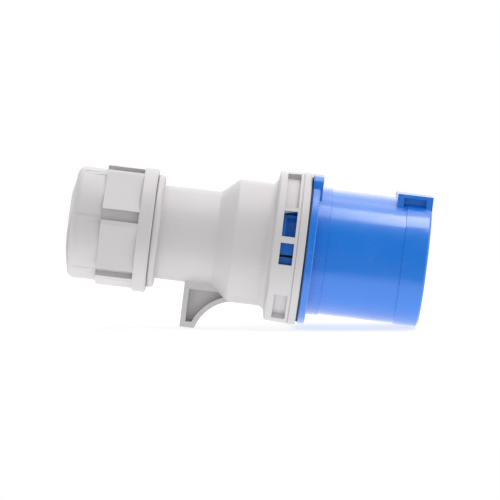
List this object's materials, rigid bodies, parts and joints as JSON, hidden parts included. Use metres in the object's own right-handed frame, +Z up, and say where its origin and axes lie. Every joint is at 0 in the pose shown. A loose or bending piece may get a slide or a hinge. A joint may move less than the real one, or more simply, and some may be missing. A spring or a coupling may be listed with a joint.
{
  "type": "industrial pin and sleeve plug",
  "caption": "Straight industrial pin and sleeve plug: round blue shroud with key and lug around contact pins, grey housing with finger hook, lobed gland nut.",
  "frame": {"origin": "centre of the bounding box on the surface that the plug rests on", "axes": "+X towards the mouth of the shroud, +Z up; the plug's own axis dips 7 degrees below +X, because it rests on its finger hook and on the rim of the shroud"},
  "size_m": [0.127, 0.0528, 0.0564],
  "materials": {
    "grey_moulding": "fine moulded satin",
    "white_acetal": "smooth",
    "dark_moulding": "moulded",
    "rubber": "matt rubber",
    "blue_moulding": "satin gloss moulding",
    "insert_moulding": "moulded",
    "retainer_moulding": "moulded",
    "nickel_brass": "nickel plated",
    "brass": "turned and sawn",
    "steel": "zinc plated"
  },
  "bodies": {
    "housing": {"clamping_cage": "dark_moulding", "gland_seal": "rubber", "rear_housing": "grey_moulding", "shroud_gasket": "rubber", "shroud": "blue_moulding", "contact_carrier": "insert_moulding", "pin_retainer": "retainer_moulding", "line_pin": "nickel_brass", "neutral_pin": "nickel_brass", "earth_pin": "nickel_brass", "line_terminal": "brass", "neutral_terminal": "brass", "earth_terminal": "brass", "line_wire_clamp": "steel", "neutral_wire_clamp": "steel", "earth_wire_clamp": "steel", "terminal_screws": "steel", "retainer_screws": "steel"},
    "thrust_ring": {"thrust_washer": "white_acetal"},
    "nut": {"gland_nut": "grey_moulding"}
  },
  "joints": [
    {"name": "gland_travel", "type": "slide", "parent": "housing", "child": "thrust_ring", "axis": [-0.9926, 0, 0.1216], "range_m": [0, 0.012]},
    {"name": "gland_turn", "type": "hinge", "parent": "thrust_ring", "child": "nut", "pos_m": [-0.04665, 0, 0.03511], "axis": [-0.9926, 0, 0.1216], "range_deg": [0, 1440]}
  ],
  "couplings": [
    {"joint": "gland_travel", "follows": "gland_turn", "m_per_rad": 0.00047746}
  ]
}
